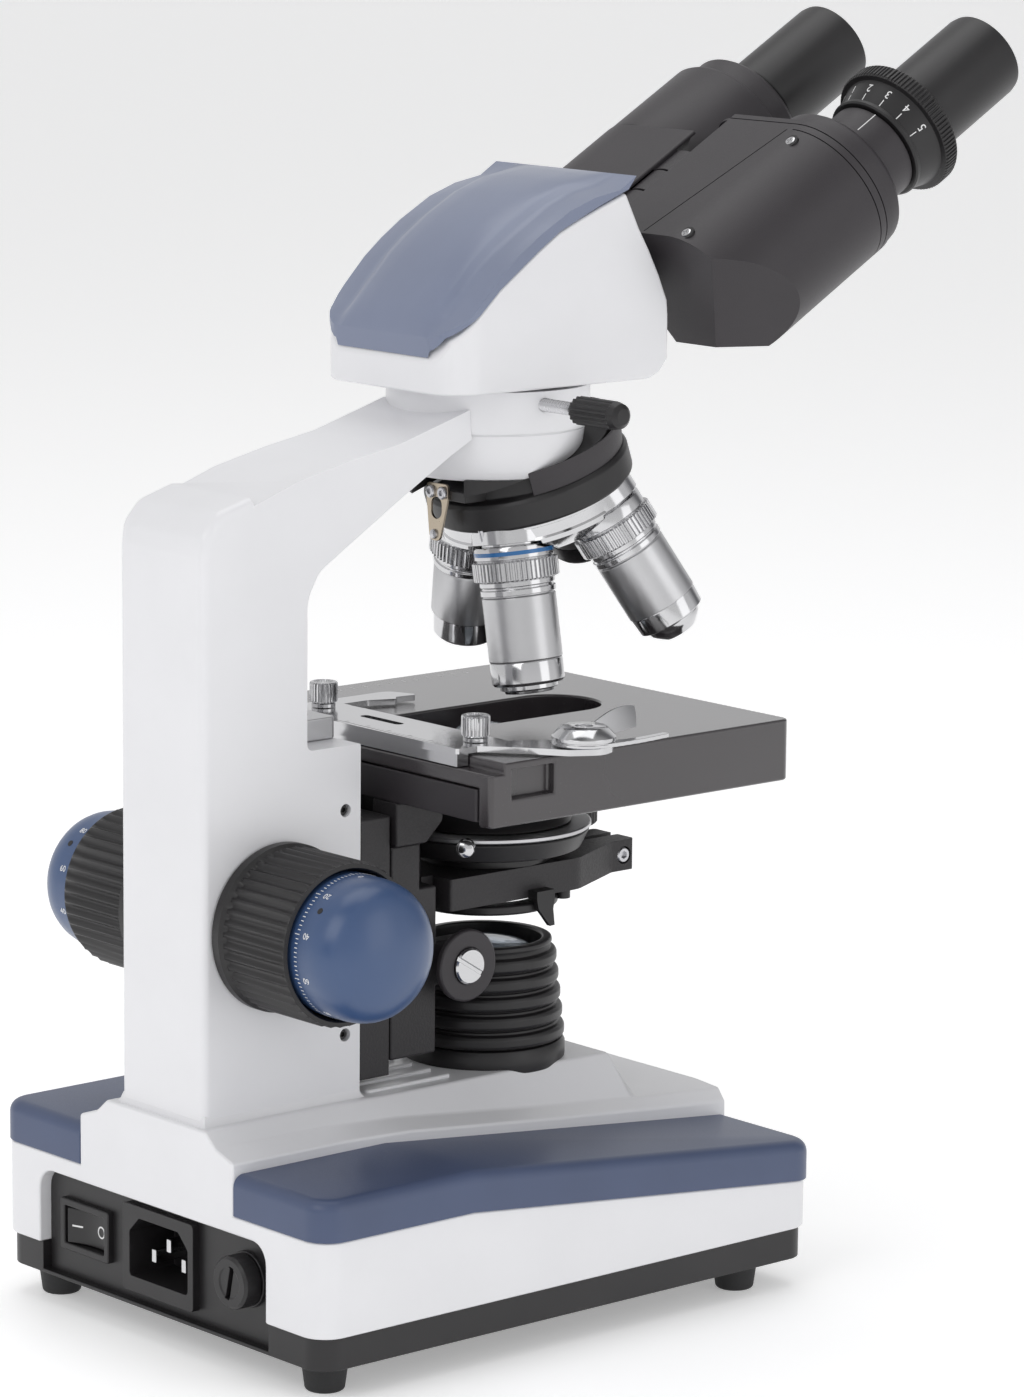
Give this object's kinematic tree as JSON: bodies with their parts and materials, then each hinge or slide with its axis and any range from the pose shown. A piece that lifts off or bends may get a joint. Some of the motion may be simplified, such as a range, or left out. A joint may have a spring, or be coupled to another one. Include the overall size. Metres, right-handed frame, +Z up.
{
  "type": "compound microscope",
  "caption": "Binocular compound microscope with a cranked arm, a turning head, an objective turret, a mechanical stage, a condenser and a built-in lamp.",
  "frame": {"origin": "centre of the bounding box footprint, on the table under the feet", "axes": "+Z up; -Y towards the user, where the eyepieces are; +Y towards the arm and the power panel; +X to the user's right"},
  "size_m": [0.1524, 0.3045, 0.3722],
  "materials": {
    "shell_white": "satin",
    "slate_blue": "satin",
    "black_plastic": "satin",
    "black_rubber": "matte",
    "black_coat": "fine textured",
    "stage_paint": "satin",
    "steel": "brushed",
    "bright_chrome": "polished",
    "satin_aluminium": "satin",
    "bronze": "satin",
    "clear_glass": "clear",
    "circuit_board": "satin"
  },
  "bodies": {
    "stand": {"base_shell": "shell_white", "base_pad_left": "slate_blue", "base_pad_right": "slate_blue", "base_tray": "black_plastic", "rubber_feet": "black_rubber", "tray_screws": "steel", "rear_panel": "black_plastic", "power_inlet": "black_plastic", "inlet_pins": "bronze", "switch_bezel": "black_plastic", "fuse_holder": "black_plastic", "fuse_tube": "bright_chrome", "power_board": "circuit_board", "arm": "shell_white", "arm_plugs": "black_plastic", "nose_casting": "shell_white", "focus_rail": "black_coat", "lamp_housing": "black_plastic", "lamp_lens": "clear_glass", "lamp_board": "circuit_board", "turret_carrier": "black_coat", "turret_cover": "black_coat", "detent_spring": "bronze", "detent_screws": "bright_chrome"},
    "rocker": {"rocker": "black_plastic"},
    "fuse_cap": {"fuse_cap": "black_plastic"},
    "coarse": {"pinion_shaft": "steel", "coarse_knobs": "black_plastic"},
    "fine": {"fine_shaft": "steel", "fine_knobs": "slate_blue"},
    "carriage": {"carriage": "black_coat", "stage_bracket": "black_coat", "stage_base": "black_coat"},
    "stage": {"stage_top": "stage_paint"},
    "drive_y": {"drive_y_knob": "black_plastic"},
    "drive_x": {"drive_x_knob": "black_plastic"},
    "holder": {"slide_holder": "bright_chrome", "holder_screws": "bright_chrome"},
    "finger": {"clip_finger": "bright_chrome"},
    "condenser": {"condenser_mount": "black_coat", "condenser_body": "black_coat", "condenser_lens": "clear_glass"},
    "condenser_drive": {"condenser_shaft": "steel", "condenser_knob": "black_plastic"},
    "iris": {"iris_lever": "bright_chrome"},
    "filter": {"filter_holder": "black_coat"},
    "turret": {"turret": "bright_chrome", "objective_4": "satin_aluminium", "objective_10": "satin_aluminium", "objective_40": "satin_aluminium", "objective_100": "satin_aluminium"},
    "head": {"head_shell": "shell_white", "head_cap": "slate_blue", "hinge_axle": "black_coat"},
    "head_lock": {"head_lock": "black_plastic"},
    "tube_near": {"housing_near": "black_coat"},
    "tube_far": {"housing_far": "black_coat"},
    "dioptre": {"dioptre_ring": "black_coat"},
    "ocular_near": {"eyepiece_near": "black_coat"},
    "ocular_far": {"eyepiece_far": "black_coat"}
  },
  "joints": [
    {"name": "rocker_tilt", "type": "hinge", "parent": "stand", "child": "rocker", "pos_m": [0.0369, 0.1407, 0.0255], "axis": [0, 0, 1], "range_deg": [-14, 0]},
    {"name": "fuse_cap_turn", "type": "hinge", "parent": "stand", "child": "fuse_cap", "pos_m": [-0.0383, 0.1487, 0.028], "axis": [0, 1, 0], "range_deg": [-90, 0]},
    {"name": "stage_lift", "type": "slide", "parent": "stand", "child": "carriage", "axis": [0, 0, 1], "range_m": [-0.006, 0.0053]},
    {"name": "coarse_turn", "type": "hinge", "parent": "stand", "child": "coarse", "pos_m": [0, 0.1194, 0.1229], "axis": [1, 0, 0], "range_deg": [-33.15, 37.47]},
    {"name": "fine_turn", "type": "hinge", "parent": "stand", "child": "fine", "pos_m": [0, 0.1194, 0.1229], "axis": [1, 0, 0], "continuous": true},
    {"name": "stage_y", "type": "slide", "parent": "carriage", "child": "stage", "axis": [0, 1, 0], "range_m": [-0.02, 0.011]},
    {"name": "drive_y_turn", "type": "hinge", "parent": "stage", "child": "drive_y", "pos_m": [0.033, -0.0346, 0.13], "axis": [0, 0, 1], "range_deg": [-191.49, 105.54]},
    {"name": "drive_x_turn", "type": "hinge", "parent": "stage", "child": "drive_x", "pos_m": [0.033, -0.0346, 0.118], "axis": [0, 0, 1], "range_deg": [-143.74, 239.23]},
    {"name": "holder_x", "type": "slide", "parent": "stage", "child": "holder", "axis": [1, 0, 0], "range_m": [-0.015, 0.025]},
    {"name": "finger_swing", "type": "hinge", "parent": "holder", "child": "finger", "pos_m": [-0.0645, 0.0439, 0.175], "axis": [0, 0, 1], "range_deg": [-35, 0], "stiffness_Nm_per_rad": 0.05},
    {"name": "condenser_lift", "type": "slide", "parent": "carriage", "child": "condenser", "axis": [0, 0, 1], "range_m": [-0.004, 0.0005]},
    {"name": "condenser_turn", "type": "hinge", "parent": "carriage", "child": "condenser_drive", "pos_m": [-0.028, 0.0544, 0.103], "axis": [1, 0, 0], "range_deg": [-44.57, 6.01]},
    {"name": "iris_turn", "type": "hinge", "parent": "condenser", "child": "iris", "pos_m": [0, 0.0254, 0.138], "axis": [0, 0, 1], "range_deg": [-5, 60]},
    {"name": "filter_swing", "type": "hinge", "parent": "condenser", "child": "filter", "pos_m": [-0.0155, 0.0079, 0.115], "axis": [0, 0, 1], "range_deg": [-80, 0]},
    {"name": "turret_turn", "type": "hinge", "parent": "stand", "child": "turret", "pos_m": [0, 0.0254, 0.2853], "axis": [0, -0.3305, -0.9438], "continuous": true},
    {"name": "head_turn", "type": "hinge", "parent": "stand", "child": "head", "pos_m": [0, 0.0254, 0.27], "axis": [0, 0, 1], "continuous": true},
    {"name": "lock_turn", "type": "hinge", "parent": "stand", "child": "head_lock", "pos_m": [-0.045, 0.0294, 0.2659], "axis": [-1, 0, 0], "range_deg": [-180, 180]},
    {"name": "hinge_near", "type": "hinge", "parent": "head", "child": "tube_near", "pos_m": [0, -0.04522, 0.31768], "axis": [0, -0.866, 0.5], "range_deg": [-15, 18]},
    {"name": "hinge_far", "type": "hinge", "parent": "head", "child": "tube_far", "pos_m": [0, -0.04522, 0.31768], "axis": [0, -0.866, 0.5], "range_deg": [-18, 15]},
    {"name": "dioptre_turn", "type": "hinge", "parent": "tube_near", "child": "dioptre", "pos_m": [-0.033, -0.10532, 0.33759], "axis": [0, -0.866, 0.5], "range_deg": [-120, 120]},
    {"name": "ocular_near_pull", "type": "slide", "parent": "tube_near", "child": "ocular_near", "axis": [0, -0.866, 0.5], "range_m": [0, 0.028]},
    {"name": "ocular_far_pull", "type": "slide", "parent": "tube_far", "child": "ocular_far", "axis": [0, -0.866, 0.5], "range_m": [0, 0.028]}
  ],
  "couplings": [
    {"joint": "coarse_turn", "follows": "stage_lift", "rad_per_m": -107.53},
    {"joint": "drive_y_turn", "follows": "stage_y", "rad_per_m": 166.67},
    {"joint": "drive_x_turn", "follows": "holder_x", "rad_per_m": 166.67},
    {"joint": "condenser_turn", "follows": "condenser_lift", "rad_per_m": 192.31},
    {"joint": "hinge_far", "follows": "hinge_near", "ratio": -1}
  ]
}
